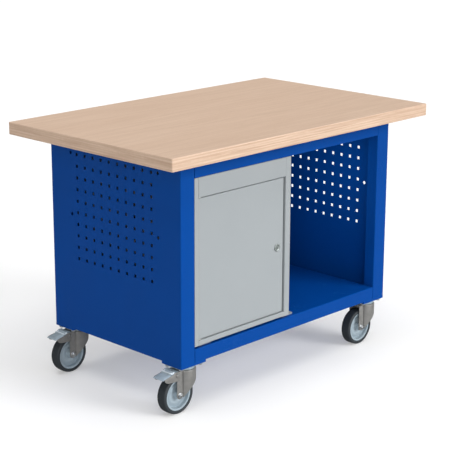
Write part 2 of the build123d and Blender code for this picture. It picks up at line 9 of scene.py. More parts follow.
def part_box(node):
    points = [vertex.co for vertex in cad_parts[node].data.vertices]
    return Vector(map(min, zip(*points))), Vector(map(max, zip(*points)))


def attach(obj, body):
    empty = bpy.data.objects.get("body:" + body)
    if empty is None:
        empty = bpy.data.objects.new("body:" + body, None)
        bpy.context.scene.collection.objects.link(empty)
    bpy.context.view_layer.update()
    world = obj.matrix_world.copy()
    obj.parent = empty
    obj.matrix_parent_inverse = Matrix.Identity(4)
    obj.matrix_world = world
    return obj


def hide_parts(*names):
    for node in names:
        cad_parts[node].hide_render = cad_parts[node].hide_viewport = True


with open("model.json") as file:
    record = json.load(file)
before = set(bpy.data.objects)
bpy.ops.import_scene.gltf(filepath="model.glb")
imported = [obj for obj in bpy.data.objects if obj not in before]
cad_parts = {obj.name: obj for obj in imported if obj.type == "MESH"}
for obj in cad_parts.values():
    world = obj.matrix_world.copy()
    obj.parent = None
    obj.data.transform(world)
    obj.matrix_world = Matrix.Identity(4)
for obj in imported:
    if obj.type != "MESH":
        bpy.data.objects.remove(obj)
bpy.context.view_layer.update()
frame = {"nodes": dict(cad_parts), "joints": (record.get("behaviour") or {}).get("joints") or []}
nodes = frame["nodes"]
pivots = {joint["name"]: Vector(joint["pos_m"]) for joint in frame["joints"]}
mm = 0.001


# ---------------------------------------------------------------- studio
# A wide pale floor with a faint glow under a dim sky that is seen as white, so that the two run into
# each other. Soft lights shine from the front right, from above and, weaker, from the front left; a
# small hidden lamp brightens the open bay.
studio = bpy.context.scene
studio.view_settings.view_transform = "Standard"


def soft_sun(name, brightness, spread, direction):
    """A distant light that shines along a direction; brightness is the whiteness it gives a white card."""
    light = bpy.data.lights.new(name, "SUN")
    light.energy = brightness * math.pi
    light.angle = math.radians(spread)
    lamp = bpy.data.objects.new(name, light)
    lamp.rotation_euler = Vector(direction).to_track_quat("-Z", "Y").to_euler()
    studio.collection.objects.link(lamp)


soft_sun("key_light", 0.80, 30, (-0.34, 0.88, -0.36))
soft_sun("top_light", 0.74, 60, (0.05, 0.1, -1))
soft_sun("fill_light", 0.30, 30, (0.64, 0.68, -0.36))

bay_lamp = bpy.data.lights.new("bay_light", "AREA")
bay_lamp.energy = 0.55
bay_lamp.size = 0.3
bay_light = bpy.data.objects.new("bay_light", bay_lamp)
bay_light.location = (0.215, -0.12, 0.73)
bay_light.rotation_euler = Vector((0.15, 0.1, -1)).to_track_quat("-Z", "Y").to_euler()
bay_light.visible_camera = False
bay_light.visible_glossy = False
studio.collection.objects.link(bay_light)

sky = bpy.data.worlds.new("sky")
sky.use_nodes = True
studio.world = sky
sky_nodes = sky.node_tree.nodes
seen_white = sky_nodes.new("ShaderNodeMapRange")
seen_white.inputs["To Min"].default_value = 0.12
seen_white.inputs["To Max"].default_value = 1.0
ray = sky_nodes.new("ShaderNodeLightPath")
sky.node_tree.links.new(ray.outputs["Is Camera Ray"], seen_white.inputs["Value"])
sky.node_tree.links.new(seen_white.outputs["Result"], sky_nodes["Background"].inputs["Strength"])
sky_nodes["Background"].inputs["Color"].default_value = (1, 1, 1, 1)

floor_reach = 60
floor_shape = bmesh.new()
bmesh.ops.create_grid(floor_shape, x_segments=8, y_segments=8, size=floor_reach)
floor_mesh = bpy.data.meshes.new("studio_floor")
floor_shape.to_mesh(floor_mesh)
floor = bpy.data.objects.new("studio_floor", floor_mesh)
studio.collection.objects.link(floor)
floor_paint = bpy.data.materials.new("studio_floor")
floor_paint.use_nodes = True
floor_surface = floor_paint.node_tree.nodes["Principled BSDF"].inputs
floor_surface["Base Color"].default_value = (0.62, 0.62, 0.62, 1)
floor_surface["Emission Color"].default_value = (1, 1, 1, 1)
floor_surface["Emission Strength"].default_value = 0.32
floor_surface["Roughness"].default_value = 0.9
floor_surface["Specular IOR Level"].default_value = 0.1
floor_mesh.materials.append(floor_paint)
floor.visible_glossy = False

lens = bpy.data.cameras.new("camera")
lens.lens = 114.448
lens.sensor_width = 36
camera = bpy.data.objects.new("camera", lens)
eye = (-3.3263, -3.2210, 1.7392)
heading = math.radians(45.940)
tilt = math.radians(-15.468)
roll = math.radians(0.2)
camera.matrix_world = (
    Matrix.Translation(eye)
    @ Matrix.Rotation(-heading, 4, "Z")
    @ Matrix.Rotation(math.pi / 2 + tilt, 4, "X")
    @ Matrix.Rotation(roll, 4, "Z")
)
studio.collection.objects.link(camera)
studio.camera = camera


# ---------------------------------------------------------------- worktop
# One thick board of beech multiplex, sanded and lacquered. Its veneers lie crosswise in turn, so
# every edge shows long grain and end grain in fine layers, with a dark glue line between them.
class Wire:
    """An output socket of a finish; sums with other wires and numbers add their Math nodes."""

    def __init__(self, tree, socket):
        self.tree = tree
        self.socket = socket

    def node(self, kind, settings, sockets, output=0):
        """Adds a node: its settings first, then the values or wires of its sockets."""
        made = self.tree.nodes.new("ShaderNode" + kind)
        for key, value in settings.items():
            if key == "stops":
                for place, colour in value[2:]:
                    made.color_ramp.elements.new(place)
                for stop, (place, colour) in zip(made.color_ramp.elements, value):
                    stop.position = place
                    stop.color = colour
            else:
                setattr(made, key, value)
        for key, value in sockets.items():
            if isinstance(value, Wire):
                self.tree.links.new(value.socket, made.inputs[key])
            else:
                made.inputs[key].default_value = value
        return Wire(self.tree, made.outputs[output])

    def math(self, operation, first, second=0.0):
        return self.node("Math", {"operation": operation}, {0: first, 1: second})

    def __add__(self, other):
        return self.math("ADD", self, other)

    def __sub__(self, other):
        return self.math("SUBTRACT", self, other)

    def __rsub__(self, other):
        return self.math("SUBTRACT", other, self)

    def __mul__(self, other):
        return self.math("MULTIPLY", self, other)

    __radd__ = __add__
    __rmul__ = __mul__

    def stretched(self, x, y, z):
        """These coordinates, scaled along each axis."""
        return self.node("VectorMath", {"operation": "MULTIPLY"}, {0: self, 1: (x, y, z)})

    def noise(self, scale, detail=2.0, roughness=0.5):
        """Smooth random values about 0.5 at these coordinates."""
        return self.node("TexNoise", {}, {"Vector": self, "Scale": scale, "Detail": detail,
                                          "Roughness": roughness})

    def step(self, low, high):
        """0 below one value and 1 above another, with a smooth run between them."""
        return self.node("MapRange", {"interpolation_type": "SMOOTHSTEP"},
                         {"Value": self, "From Min": low, "From Max": high})

    def blend(self, first, second):
        """A colour between two, by this wire from 0 to 1."""
        return self.node("Mix", {"data_type": "RGBA"}, {0: self, 6: first, 7: second}, output=2)

    def feed(self, name):
        """Leads this wire into a socket of the finish's surface shader."""
        self.tree.links.new(self.socket, self.tree.nodes["Principled BSDF"].inputs[name])

    def relief(self, strength, distance):
        """Raises the surface by this wire."""
        self.node("Bump", {}, {"Strength": strength, "Distance": distance, "Height": self}).feed("Normal")


def bare_finish(name, **constants):
    """A new material and the object coordinates in it; constants set sockets that stay the same."""
    finish = bpy.data.materials.new(name)
    finish.use_nodes = True
    surface = finish.node_tree.nodes["Principled BSDF"]
    for key, value in constants.items():
        surface.inputs[key.replace("_", " ")].default_value = value
    coordinates = finish.node_tree.nodes.new("ShaderNodeTexCoord").outputs["Object"]
    return finish, Wire(finish.node_tree, coordinates)


def rgb(red, green, blue):
    return (red, green, blue, 1)


def paint(finish, *names):
    """Gives CAD nodes a finish in place of their plain one."""
    for name in names:
        nodes[name].data.materials.clear()
        nodes[name].data.materials.append(finish)


early_wood = rgb(0.640, 0.476, 0.362)
late_wood = rgb(0.560, 0.405, 0.300)
wide_stripe = rgb(0.570, 0.408, 0.302)
fleck_brown = rgb(0.430, 0.285, 0.200)
pore_brown = rgb(0.450, 0.300, 0.215)
end_grain_light = rgb(0.560, 0.400, 0.280)
end_grain_dark = rgb(0.430, 0.290, 0.195)
glue_line = rgb(0.330, 0.210, 0.135)
streak_brown = rgb(0.400, 0.255, 0.172)
band_pale = rgb(0.660, 0.500, 0.380)


def multiplex(name, board_box, plies):
    """Beech plies of an even thickness, laid crosswise in turn, with long grain on both faces."""
    finish, place = bare_finish(name, Specular_IOR_Level=0.3)
    low, high = board_box[0].z, board_box[1].z
    ply = (high - low) / plies
    height = place.node("SeparateXYZ", {}, {0: place}, output="Z")
    waviness = (place.stretched(1, 1, 0.2).noise(9, 1) - 0.5) * (0.7 * mm)
    within = place.math("MAXIMUM", place.math("MINIMUM", height, high - ply / 2) - low, ply / 2)
    ply_wave = place.math("SINE", (within + waviness) * (math.pi / ply))
    crosswise = 1 - ply_wave.step(-0.25, 0.25)
    glue = 1 - place.math("ABSOLUTE", ply_wave).step(0.0, 0.25)
    long_figure = place.stretched(3.0, 60, 60).noise(1.4, 4, 0.6)
    cross_figure = place.stretched(60, 3.0, 60).noise(1.4, 4, 0.6)
    broad = place.stretched(0.9, 9, 9).noise(1.6, 3, 0.5)
    flecks = place.stretched(60, 700, 700).noise(1.0, 1, 0.5).step(0.60, 0.74)
    pores = place.stretched(140, 1300, 1300).noise(1.0, 1, 0.5).step(0.56, 0.72)
    long_grain = long_figure.step(0.25, 0.75).blend(early_wood, late_wood)
    long_grain = (broad.step(0.35, 0.70) * 0.40).blend(long_grain, wide_stripe)
    long_grain = (flecks * 0.22).blend(long_grain, fleck_brown)
    long_grain = (pores * 0.12).blend(long_grain, pore_brown)
    end_grain = cross_figure.step(0.25, 0.75).blend(end_grain_light, end_grain_dark)
    layers = (crosswise * 0.45).blend(long_grain, end_grain)
    layers = (glue * 0.22).blend(layers, glue_line)
    streaks = place.stretched(5, 5, 210).noise(1.0, 3, 0.6).step(0.38, 0.62)
    bands = place.stretched(0.5, 0.5, 120).noise(1.0, 1, 0.5).step(0.42, 0.60)
    layers = (streaks * 0.60).blend(layers, streak_brown)
    layers = (bands * 0.25).blend(layers, band_pale)
    inside = 1 - height.step(high - 1.6 * mm, high - 0.4 * mm)
    wood = inside.blend(long_grain, layers)
    wood.feed("Base Color")
    (0.46 + flecks * 0.10 + crosswise * 0.08).feed("Roughness")
    (long_figure + flecks * -0.6 + glue * -1.2).relief(0.12, 0.3 * mm)
    return finish


ply_count = 11
paint(multiplex("beech_multiplex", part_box("worktop"), ply_count), "worktop")


# ---------------------------------------------------------------- frame
# Folded sheet steel, powder-coated a strong blue: side panels with their posts, aprons, tray, back
# panel and the corner plates over the casters. The coat has a faint orange peel.
def powder_coat(name, colour, shade, sheen, roughness):
    """Semi-gloss powder coat with a fine orange peel and a faint unevenness."""
    finish, place = bare_finish(name, Specular_IOR_Level=0.24, Specular_Tint=sheen)
    cloud = place.noise(5, 3)
    peel = place.noise(620, 2)
    (cloud.step(0.3, 0.7) * 0.5).blend(colour, shade).feed("Base Color")
    (roughness + (cloud - 0.5) * 0.12 + (peel - 0.5) * 0.06).feed("Roughness")
    peel.relief(0.10, 0.25 * mm)
    return finish


blue_coat = powder_coat("blue_powder_coat", rgb(0.0008, 0.0510, 0.2640), rgb(0.0008, 0.0470, 0.2440),
                        rgb(0.30, 0.55, 1.00), 0.25)
paint(blue_coat, "side_panel_left", "side_panel_right", "front_apron", "rear_apron", "bottom_tray",
      "back_panel", "corner_plates", "apron_end_plates")


# ---------------------------------------------------------------- cupboard and door
# Thinner folded sheet in a satin light grey: two sides, roof, floor, back, shelf, feet and the door.
grey_coat = powder_coat("grey_powder_coat", rgb(0.290, 0.313, 0.325), rgb(0.275, 0.298, 0.310),
                        rgb(1, 1, 1), 0.48)
paint(grey_coat, "cupboard_side_left", "cupboard_side_right", "cupboard_roof", "cupboard_floor",
      "cupboard_back", "cupboard_shelf", "cupboard_feet", "door_panel")


# ---------------------------------------------------------------- bench fasteners
# Hex bolts and nuts join rails, tray, posts and casters; pan-head screws hold the back panel, the
# cupboard's feet and the worktop. All are steel with a bright zinc plating.
def plated(name, light, dark, roughness, metal, scale):
    """Plated steel, cloudy at one scale and finely scratched."""
    finish, place = bare_finish(name, Metallic=metal)
    cloud = place.noise(scale, 4, 0.6)
    grit = place.noise(2600, 1)
    cloud.step(0.3, 0.7).blend(dark, light).feed("Base Color")
    (roughness + (cloud - 0.5) * 0.2 + (grit - 0.5) * 0.1).feed("Roughness")
    grit.relief(0.05, 0.05 * mm)
    return finish


def piece(shape, name, finish, body, slot, *stands_for, crease=35):
    """Makes a shape a shown piece with its finish, on its body, and hides the nodes it stands for; the slot
    argument is not used.
    """
    mesh = bpy.data.meshes.new(name)
    shape.to_mesh(mesh)
    shape.free()
    mesh.shade_smooth()
    mesh.set_sharp_from_angle(angle=math.radians(crease))
    mesh.materials.append(finish)
    made = bpy.data.objects.new(name, mesh)
    studio.collection.objects.link(made)
    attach(made, body)
    if stands_for:
        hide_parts(*stands_for)


def joined(shapes):
    """Several shapes as one."""
    whole = bmesh.new()
    for shape in shapes:
        part = bpy.data.meshes.new("part")
        shape.to_mesh(part)
        shape.free()
        whole.from_mesh(part)
        bpy.data.meshes.remove(part)
    return whole


def soften(shape, width, segments=2, over=40):
    """Rounds every edge where two faces meet at more than an angle in degrees."""
    sharp = [e for e in shape.edges if len(e.link_faces) == 2 and e.calc_face_angle() > math.radians(over)]
    bmesh.ops.bevel(shape, geom=sharp, offset=width, segments=segments, profile=0.5, affect="EDGES",
                    material=-1, clamp_overlap=True)
    return shape


def laid(shape, centre, axis):
    """Turns a shape made upright about the origin so that it stands along an axis at a place."""
    turn = Vector(axis).to_track_quat("Z", "Y").to_matrix().to_4x4()
    bmesh.ops.transform(shape, matrix=Matrix.Translation(centre) @ turn, verts=shape.verts)
    return shape


def turned(section, centre, axis, steps=48):
    """A round shape: its section, pairs of radius and distance along, spun about an axis."""
    shape = bmesh.new()
    corners = [shape.verts.new((radius, 0, along)) for radius, along in section]
    runs = list(zip(corners, corners[1:]))
    if section[0][0] > 0:
        runs.append((corners[-1], corners[0]))
    edges = [shape.edges.new(run) for run in runs]
    bmesh.ops.spin(shape, geom=corners + edges, cent=(0, 0, 0), axis=(0, 0, 1), angle=2 * math.pi,
                   steps=steps, use_merge=True)
    bmesh.ops.remove_doubles(shape, verts=shape.verts, dist=0.002 * mm)
    bmesh.ops.recalc_face_normals(shape, faces=shape.faces)
    return laid(shape, centre, axis)


def hexagon(centre, axis, radius, height):
    """A hexagonal head or nut with chamfered corners, from one face up to its height."""
    shape = bmesh.new()
    bmesh.ops.create_cone(shape, cap_ends=True, segments=6, radius1=radius, radius2=radius, depth=height)
    rims = [e for e in shape.edges if abs(e.verts[0].co.z - e.verts[1].co.z) < height / 2]
    bmesh.ops.bevel(shape, geom=rims, offset=0.09 * radius, segments=2, profile=0.5, affect="EDGES",
                    material=-1)
    bmesh.ops.translate(shape, verts=shape.verts, vec=(0, 0, height / 2))
    return laid(shape, centre, axis)


def washer(centre, axis, radius, thickness):
    """A flat washer, slightly rounded at its rim."""
    lip = 0.25 * thickness
    section = [(0, 0), (radius - lip, 0), (radius, lip), (radius, thickness - lip),
               (radius - lip, thickness), (0, thickness)]
    return turned(section, centre, axis, 32)


def threaded(centre, axis, radius, length, pitch=1.25 * mm):
    """A bolt's threaded end, as a row of fine ridges with a chamfered tip."""
    section = [(0, 0), (radius, 0)]
    for turn in range(int(length / pitch) - 1):
        section.append((radius * 0.88, (turn + 0.5) * pitch))
        section.append((radius, (turn + 1) * pitch))
    section += [(radius, length - 0.15 * radius), (radius * 0.82, length), (0, length)]
    return turned(section, centre, axis, 24)


def pan_head(centre, axis, radius, height):
    """A pan-head screw with a hexagon socket."""
    socket = 0.5 * radius
    crown = [(radius * math.cos(t), height * math.sin(t)) for t in (0, 0.35, 0.7, 1.0)]
    section = [(0, 0), *crown, (socket * 1.05, height), (socket, height - 0.1 * height),
               (socket, 0.35 * height), (0, 0.25 * height)]
    return turned(section, centre, axis, 24)


bright_zinc = plated("bright_zinc", rgb(0.74, 0.76, 0.77), rgb(0.62, 0.64, 0.66), 0.30, 0.9, 120)
up, down, along_x, rearward = Vector((0, 0, 1)), Vector((0, 0, -1)), Vector((1, 0, 0)), Vector((0, 1, 0))

bolt_gap = Vector((40 * mm, 30 * mm, 0))
bolt_radius = 4 * mm
hex_radius = 7.5 * mm
bolt_head = 5.3 * mm
bolt_nut = 6.3 * mm
bolt_tail = 2.2 * mm
plate_low, plate_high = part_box("front_left_caster_plate")
plate_centre = plate_low.lerp(plate_high, 0.5)
corner_plate_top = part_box("side_panel_left")[0].z
foot_gauge = 2 * mm
bolts = []
for sx in (-1, 1):
    for sy in (-1, 1):
        for bx in (-1, 1):
            for by in (-1, 1):
                x = sx * abs(plate_centre.x) + bx * bolt_gap.x
                y = sy * abs(plate_centre.y) + by * bolt_gap.y
                seat = corner_plate_top + (foot_gauge if sx * bx > 0 else 0)
                shank = seat - plate_low.z
                bolts.append(hexagon((x, y, plate_low.z), down, hex_radius, bolt_head))
                bolts.append(hexagon((x, y, seat), up, hex_radius, bolt_nut))
                bolts.append(threaded((x, y, seat + bolt_nut), up, bolt_radius, bolt_tail))
                bolts.append(turned([(0, 0), (bolt_radius, 0), (bolt_radius, shank), (0, shank)],
                                    (x, y, plate_low.z), up, 16))
piece(joined(bolts), "caster_bolt_set", bright_zinc, "bench", "bolt_steel", "caster_bolts")

rail_bolt_low, rail_bolt_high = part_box("frame_bolts")
rail_hex = 5.5 * mm
rail_hex_flat = rail_hex * 0.866
rail_head = 4 * mm
rail_head_face = 428.75 * mm
rail_nut = 5 * mm
rail_nut_seat = 437.5 * mm
rail_thread = 3.1 * mm
rail_tail = 2 * mm
rail_pitch = 1 * mm
bolts = []
for side in (-1, 1):
    away = along_x * side
    for y in (rail_bolt_low.y + rail_hex_flat, rail_bolt_high.y - rail_hex_flat):
        for z in (rail_bolt_low.z + rail_hex, rail_bolt_high.z - rail_hex):
            bolts.append(hexagon((side * (rail_head_face + rail_head), y, z), -away, rail_hex, rail_head))
            bolts.append(hexagon((side * rail_nut_seat, y, z), away, rail_hex, rail_nut))
            bolts.append(threaded((side * (rail_nut_seat + rail_nut), y, z), away, rail_thread, rail_tail,
                                  rail_pitch))
piece(joined(bolts), "frame_bolt_set", bright_zinc, "bench", "bolt_steel", "frame_bolts")

screw_low, screw_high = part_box("panel_screws")
panel_head = 4.5 * mm
panel_head_height = 2.2 * mm
panel_face = 433 * mm
screw_y = (screw_low.y + screw_high.y) / 2
screw_rows = 4
screw_gap = (screw_high.z - screw_low.z - 2 * panel_head) / (screw_rows - 1)
screws = []
for side in (-1, 1):
    for row in range(screw_rows):
        spot = (side * panel_face, screw_y, screw_low.z + panel_head + row * screw_gap)
        screws.append(pan_head(spot, along_x * -side, panel_head, panel_head_height))
piece(joined(screws), "panel_screw_set", bright_zinc, "bench", "bolt_steel", "panel_screws")

foot_low, foot_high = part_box("foot_screws")
foot_head = 4 * mm
foot_head_height = 2 * mm
screws = [pan_head((x, y, foot_high.z - foot_head_height), up, foot_head, foot_head_height)
          for x in (foot_low.x + foot_head, foot_high.x - foot_head)
          for y in (foot_low.y + foot_head, foot_high.y - foot_head)]
piece(joined(screws), "foot_screw_set", bright_zinc, "bench", "bolt_steel", "foot_screws")
paint(bright_zinc, "worktop_screws", "kingpins", "shelf_clips")


# ---------------------------------------------------------------- door pins, washers and buffers
# The door turns on a steel pin at its top and its bottom, each in a nylon washer. Two rubber buffers
# on its back soften its closing.
def moulded(name, colour, shade, roughness, grain):
    """Moulded plastic or rubber with a fine grain."""
    finish, place = bare_finish(name, Specular_IOR_Level=0.4)
    cloud = place.noise(18, 3)
    skin = place.noise(grain, 2)
    cloud.step(0.3, 0.7).blend(colour, shade).feed("Base Color")
    (roughness + (cloud - 0.5) * 0.15 + (skin - 0.5) * 0.1).feed("Roughness")
    skin.relief(0.15, 0.1 * mm)
    return finish


def in_mm(section):
    """A section's pairs, given in millimetres, in metres."""
    return [(radius * mm, along * mm) for radius, along in section]


nylon = moulded("nylon", rgb(0.72, 0.71, 0.67), rgb(0.68, 0.67, 0.62), 0.5, 900)
black_rubber = moulded("black_rubber", rgb(0.022, 0.022, 0.023), rgb(0.030, 0.030, 0.031), 0.7, 1500)
paint(nylon, "pivot_washers")
paint(bright_zinc, "door_pins")

buffer_low, buffer_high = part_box("door_buffers")
buffer_x = (buffer_low.x + buffer_high.x) / 2
buffer_radius = 4 * mm
dome = in_mm([(0, 0), (4, 0), (4, 1), (3.4, 1.9), (2, 2.4), (0, 2.5)])
domes = [turned(dome, (buffer_x, buffer_low.y, z), rearward, 24)
         for z in (buffer_low.z + buffer_radius, buffer_high.z - buffer_radius)]
piece(joined(domes), "door_buffer_domes", black_rubber, "door", "buffer_rubber", "door_buffers")


# ---------------------------------------------------------------- cam lock
# A nickel-plated cylinder lock: a dished ring on the door's face, a plug with its keyway, a threaded
# barrel clamped by a thin nut, and a zinc-plated cam with its screw behind.
def ring_of(count, radius, sides=0):
    """Points evenly spaced round a circle or along a polygon's sides, in the XY plane."""
    points = []
    for step in range(count):
        angle = 2 * math.pi * step / count
        reach = radius
        if sides:
            within = (angle % (2 * math.pi / sides)) - math.pi / sides
            reach = radius * math.cos(math.pi / sides) / math.cos(within)
        points.append(Vector((reach * math.cos(angle), reach * math.sin(angle), 0)))
    return points


def clamped(value, limit):
    """A value kept between a limit and its negative."""
    return max(-limit, min(limit, value))


def thicken(shape, move):
    """Draws a flat sheet's faces out by a distance and walls its edges."""
    grown = bmesh.ops.extrude_face_region(shape, geom=shape.faces[:])["geom"]
    drawn = [part for part in grown if isinstance(part, bmesh.types.BMVert)]
    bmesh.ops.translate(shape, verts=drawn, vec=move)
    bmesh.ops.recalc_face_normals(shape, faces=shape.faces)


def pierced(outline, hole, thickness, centre, axis):
    """A plate with a hole through it, from two loops with as many points each."""
    shape = bmesh.new()
    edges = []
    for points in (outline, hole):
        corners = [shape.verts.new(point) for point in points]
        edges += [shape.edges.new(run) for run in zip(corners, corners[1:] + corners[:1])]
    bmesh.ops.bridge_loops(shape, edges=edges)
    thicken(shape, (0, 0, thickness))
    return laid(shape, centre, axis)


nickel = plated("nickel", rgb(0.36, 0.40, 0.39), rgb(0.30, 0.33, 0.32), 0.52, 0.75, 90)
lock_axis = pivots["lock_turn"]
door_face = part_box("door_panel")[0].y
housing_low, housing_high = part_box("lock_housing")
lock_face = Vector((lock_axis.x, door_face, lock_axis.z))
forward = -rearward
barrel = 9.4 * mm
bore = 6.55 * mm
bezel = 12.5 * mm
proud = door_face - housing_low.y
depth = housing_high.y - door_face
section = [(bore, -depth), (barrel, -depth)]
thread_pitch = 1 * mm
for turn in range(int((depth - 3 * mm) / thread_pitch)):
    section.append((barrel, -depth + (turn + 0.5) * thread_pitch))
    section.append((barrel - 0.5 * mm, -depth + (turn + 1) * thread_pitch))
section += [(barrel, 0), (bezel, 0), (bezel, 0.35 * proud), (bezel - 0.5 * mm, 0.72 * proud),
            (bezel - 1.3 * mm, 0.95 * proud), (bezel - 2.2 * mm, proud), (bezel - 3.2 * mm, 0.9 * proud),
            (bore + 1.4 * mm, 0.55 * proud), (bore + 0.4 * mm, 0.5 * proud), (bore, 0.42 * proud)]
piece(turned(section, lock_face, forward, 64), "lock_ring", nickel, "door", "lock_nickel", "lock_housing")

nut_corner = 14 * mm
nut_thickness = 4 * mm
nut_steps = 48
door_gauge = 1.5 * mm
lock_nut = pierced(ring_of(nut_steps, nut_corner, 6), ring_of(nut_steps, barrel + 0.1 * mm), nut_thickness,
                   lock_face + rearward * door_gauge, rearward)
piece(soften(lock_nut, 0.4 * mm), "lock_clamp_nut", bright_zinc, "door", "bolt_steel", "lock_nut")

cam_low, cam_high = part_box("lock_cam")
plug_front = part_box("lock_plug")[0].y
plug_radius = 6.5 * mm
plug_steps = 32
keyway_half_long = 4.2 * mm
keyway_half_wide = 1 * mm
keyway = [Vector((clamped(point.x, keyway_half_wide), point.y, 0))
          for point in ring_of(plug_steps, keyway_half_long)]
plug = pierced(ring_of(plug_steps, plug_radius), keyway, cam_low.y - plug_front,
               (lock_axis.x, plug_front, lock_axis.z), rearward)
piece(soften(plug, 0.35 * mm), "lock_keyway_plug", nickel, "lock", "lock_nickel", "lock_plug")

cam = bmesh.new()
cam_width = 8 * mm
cam_tip = cam_low.z + cam_width - lock_axis.z
half_turn = [math.pi * step / 12 for step in range(13)]
outline = [(cam_width * math.cos(t), cam_width * math.sin(t)) for t in half_turn]
outline += [(-x, cam_tip - z) for x, z in outline]
cam.faces.new([cam.verts.new((lock_axis.x + x, cam_low.y, lock_axis.z + z)) for x, z in outline])
thicken(cam, (0, cam_high.y - cam_low.y, 0))
piece(soften(cam, 0.4 * mm), "lock_cam_plate", bright_zinc, "lock", "bolt_steel", "lock_cam")
cam_screw_radius = 5.5 * mm
cam_screw_height = 3 * mm
cam_screw = pan_head((lock_axis.x, cam_high.y, lock_axis.z), rearward, cam_screw_radius, cam_screw_height)
piece(cam_screw, "lock_cam_screw", bright_zinc, "lock", "bolt_steel", "lock_screw")


# ---------------------------------------------------------------- wheels
# A dark rubber band on a moulded grey centre, which has a deep hub, a dished web and a flanged seat.
# The tread is slightly crowned, with round shoulders and the mould's parting line.
def both_sides(half):
    """A section mirrored to the other side of the wheel."""
    return half + [(radius, -along) for radius, along in reversed(half)]


tyre_rubber = moulded("tyre_rubber", rgb(0.030, 0.037, 0.043), rgb(0.024, 0.030, 0.035), 0.60, 1100)
wheel_plastic = moulded("wheel_plastic", rgb(0.285, 0.350, 0.395), rgb(0.265, 0.328, 0.372), 0.40, 700)
shoulder = [(56.6 + 5.4 * math.sin(t), 12.1 + 5.4 * math.cos(t)) for t in (0, 0.3, 0.6, 0.9, 1.2, 1.4)]
tyre_half = [(51, 15), (51.6, 16.6), (52.4, 17.4), (53.6, 17.5), (54.1, 17.1), (54.6, 17.5), *shoulder,
             (62.3, 8), (62.45, 4), (62.5, 0.7), (62.25, 0.35)]
rim_half = [(5.05, 19.1), (5.45, 19.5), (11.4, 19.5), (12.3, 19.1), (12.7, 18.2), (13.2, 10), (14.0, 6.2),
            (16, 4.8), (19, 5.2), (23, 6.8), (27, 7.6), (31, 7.0), (35, 5.0), (38.5, 3.2), (41.5, 3.0),
            (43.2, 4.6), (43.9, 8), (44.4, 12.6), (44.9, 14.4), (46.0, 15), (50.4, 15), (51, 14.5)]
tyre_section = both_sides(in_mm(tyre_half))
rim_section = both_sides(in_mm(rim_half))
wheel_steps = 128
places = ("front_left", "rear_left", "front_right", "rear_right")
for place in places:
    hub = pivots[f"{place}_wheel_roll"]
    band = turned(tyre_section, hub, rearward, wheel_steps)
    piece(band, f"{place}_tread_band", tyre_rubber, f"{place}_wheel", "tyre_rubber", f"{place}_tyre")
    centre = turned(rim_section, hub, rearward, wheel_steps)
    piece(centre, f"{place}_wheel_centre", wheel_plastic, f"{place}_wheel", "rim_plastic", f"{place}_rim")


# ---------------------------------------------------------------- axle bolts
# A zinc-plated hex bolt from the back of each fork, through its legs and the wheel's hub, held by a
# washer and a lock nut on the front.
fork_half = 22.5 * mm
axle_radius = 5 * mm
axle_thread = 4.8 * mm
axle_hex = 8 * mm
axle_nut = 5.3 * mm
axle_head = 5 * mm
washer_radius = 9.5 * mm
washer_gauge = 1.2 * mm
axle_tail = 2 * mm
axle_pitch = 1 * mm
shank = [(0, 0), (axle_radius, 0), (axle_radius, 2 * fork_half), (0, 2 * fork_half)]
for place in places:
    hub = pivots[f"{place}_wheel_roll"]
    front = hub - rearward * fork_half
    bolt = [
        turned(shank, front, rearward, 32),
        washer(front, forward, washer_radius, washer_gauge),
        hexagon(front + forward * washer_gauge, forward, axle_hex, axle_nut),
        threaded(front + forward * (washer_gauge + axle_nut), forward, axle_thread, axle_tail, axle_pitch),
        hexagon(hub + rearward * fork_half, rearward, axle_hex, axle_head),
    ]
    piece(joined(bolt), f"{place}_axle_bolt", bright_zinc, f"{place}_swivel", "bolt_steel", f"{place}_axle")


# ---------------------------------------------------------------- forks, plates and ball races
# Each fork is one pressing with a round cup under the race; its cut edges are softened. Two pressed
# rings with balls between them make the race, under a plate bolted to the frame's corner.
def softened(node, width):
    """A copy of a node's shape, its triangles merged into whole faces and its edges rounded."""
    shape = bmesh.new()
    shape.from_mesh(nodes[node].data)
    bmesh.ops.remove_doubles(shape, verts=shape.verts, dist=0.002 * mm)
    bmesh.ops.dissolve_limit(shape, angle_limit=math.radians(0.5), verts=shape.verts, edges=shape.edges)
    return soften(shape, width)


fork_zinc = plated("fork_zinc", rgb(0.255, 0.252, 0.242), rgb(0.215, 0.212, 0.205), 0.46, 0.35, 60)
plate_zinc = plated("plate_zinc", rgb(0.50, 0.60, 0.66), rgb(0.40, 0.49, 0.55), 0.34, 0.35, 60)
cut_edge = 0.5 * mm
ball_count = 24
ball_radius = 1.2 * mm
ball_circle = 30.4 * mm
for place in places:
    swivel = pivots[f"{place}_swivel_turn"]
    piece(softened(f"{place}_fork", cut_edge), f"{place}_fork_pressing", fork_zinc, f"{place}_swivel",
          "zinc_plate", f"{place}_fork")
    piece(softened(f"{place}_caster_plate", cut_edge), f"{place}_bolted_plate", plate_zinc, "bench",
          "zinc_plate", f"{place}_caster_plate")
    race_low, race_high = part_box(f"{place}_swivel_race")
    height = race_high.z - race_low.z
    groove = in_mm([(14, 0), (32, 0), (33, 1), (33, 3.2), (32.2, 4), (30.2, 4.4)]) + [(29.4 * mm, height / 2)]
    section = groove + [(radius, height - along) for radius, along in reversed(groove[:-1])]
    race_foot = Vector((swivel.x, swivel.y, race_low.z))
    race = [turned(section, race_foot, up, 64)]
    for ball in range(ball_count):
        turn = 2 * math.pi * ball / ball_count
        sphere = bmesh.new()
        bmesh.ops.create_icosphere(sphere, subdivisions=2, radius=ball_radius)
        spot = Vector((ball_circle * math.cos(turn), ball_circle * math.sin(turn), height / 2))
        bmesh.ops.translate(sphere, verts=sphere.verts, vec=race_foot + spot)
        race.append(sphere)
    piece(joined(race), f"{place}_ball_race", plate_zinc, "bench", "zinc_plate", f"{place}_swivel_race")


